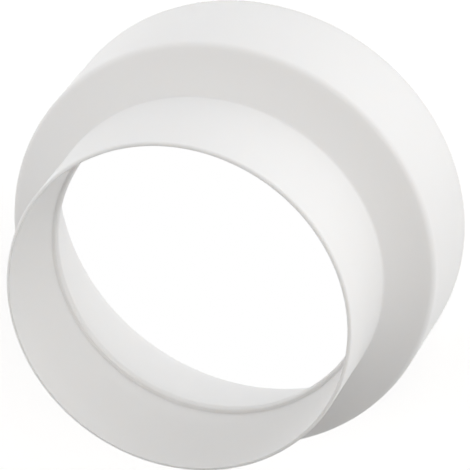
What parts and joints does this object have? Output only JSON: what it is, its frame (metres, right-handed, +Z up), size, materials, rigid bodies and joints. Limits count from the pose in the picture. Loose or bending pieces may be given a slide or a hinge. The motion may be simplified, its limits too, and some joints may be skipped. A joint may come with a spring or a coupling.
{
  "type": "duct reducer",
  "caption": "Round plastic duct reducer moulded in one piece: a large and a small plain spigot joined by a short steep cone, with a stop shoulder inside the small spigot.",
  "frame": {"origin": "centre of the large rim, which the part stands on", "axes": "+Z up the duct axis, from the large rim to the small rim; the part is round about it, so X and Y are free"},
  "size_m": [0.125, 0.125, 0.0735],
  "materials": {
    "white_plastic": "smooth white moulded plastic with a faint satin sheen"
  },
  "bodies": {
    "root": {"reducer_body": "white_plastic"}
  },
  "joints": []
}
